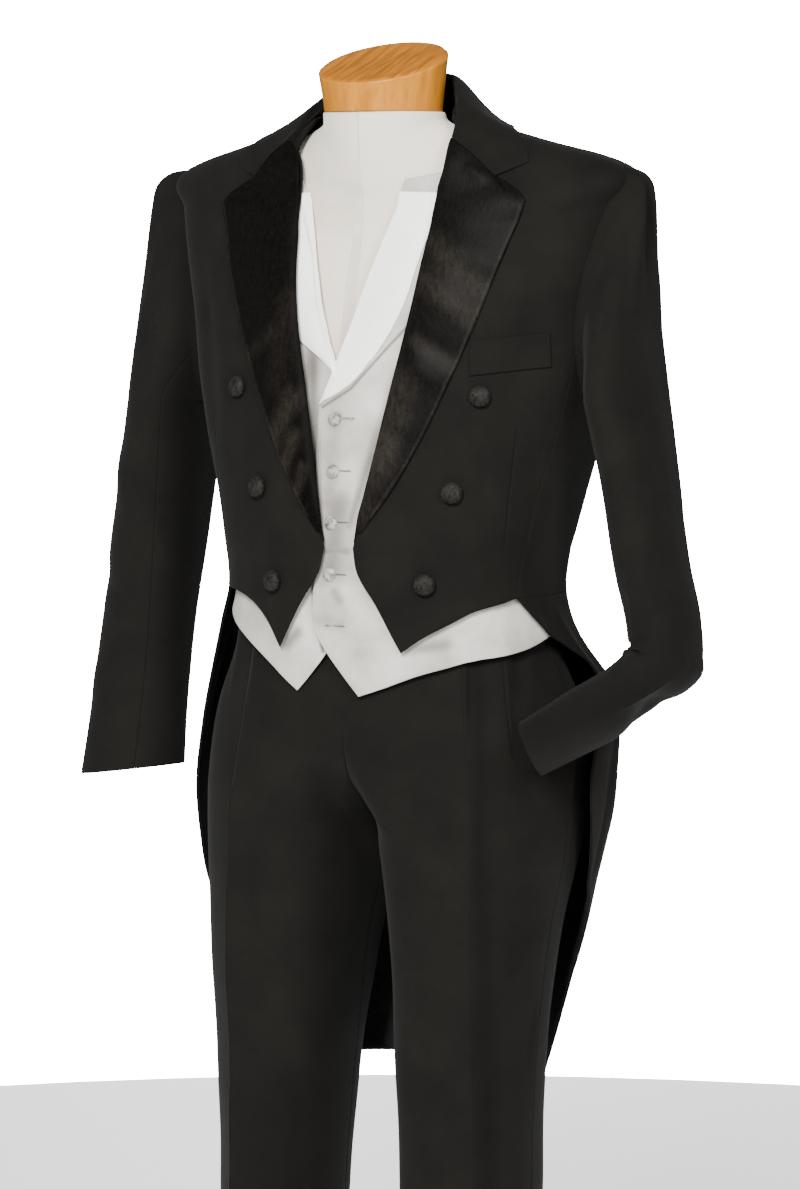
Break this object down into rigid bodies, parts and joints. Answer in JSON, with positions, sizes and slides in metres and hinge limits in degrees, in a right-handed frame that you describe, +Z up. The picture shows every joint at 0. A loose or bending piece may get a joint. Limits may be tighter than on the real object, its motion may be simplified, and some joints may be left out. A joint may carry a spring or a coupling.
{
  "type": "tailcoat suit on a dress form",
  "caption": "Black tailcoat with satin lapels, white satin waistcoat and pleated trousers, displayed on a limbless dress form with a slanted wooden neck block and a round steel base.",
  "frame": {"origin": "centre of the round base's underside, on the floor", "axes": "+Z up, the front faces -Y, +X is the wearer's left"},
  "size_m": [0.6995, 0.42, 1.6054],
  "materials": {
    "black_wool": "matt fine worsted",
    "black_satin": "glossy satin",
    "white_satin": "soft satin",
    "cream_jersey": "matt jersey",
    "pale_wood": "satin varnish",
    "brushed_steel": "brushed"
  },
  "bodies": {
    "root": {"coat_back_button_l": "black_satin", "coat_back_button_r": "black_satin", "coat_back_l": "black_wool", "coat_back_r": "black_wool", "coat_breast_welt": "black_wool", "coat_button_l_1": "black_satin", "coat_button_l_2": "black_satin", "coat_button_l_3": "black_satin", "coat_button_r_1": "black_satin", "coat_button_r_2": "black_satin", "coat_button_r_3": "black_satin", "coat_collar": "black_wool", "coat_front_l": "black_wool", "coat_front_r": "black_wool", "coat_lapel_l": "black_satin", "coat_lapel_r": "black_satin", "coat_side_l": "black_wool", "coat_side_r": "black_wool", "coat_skirt_l": "black_wool", "coat_skirt_r": "black_wool", "coat_tail_lining_l": "black_satin", "coat_tail_lining_r": "black_satin", "coat_topsleeve_l": "black_wool", "coat_topsleeve_r": "black_wool", "coat_underforearm_l": "black_wool", "coat_undersleeve_l": "black_wool", "coat_undersleeve_r": "black_wool", "form_neck": "pale_wood", "form_torso": "cream_jersey", "stand_base": "brushed_steel", "stand_pole": "brushed_steel", "trouser_back_l": "black_wool", "trouser_back_r": "black_wool", "trouser_front_l": "black_wool", "trouser_front_r": "black_wool", "trouser_waistband": "black_wool", "vest_back": "white_satin", "vest_button_1": "white_satin", "vest_button_2": "white_satin", "vest_button_3": "white_satin", "vest_button_4": "white_satin", "vest_front_l": "white_satin", "vest_front_r": "white_satin", "vest_lapel_l": "white_satin", "vest_lapel_r": "white_satin"}
  },
  "joints": []
}
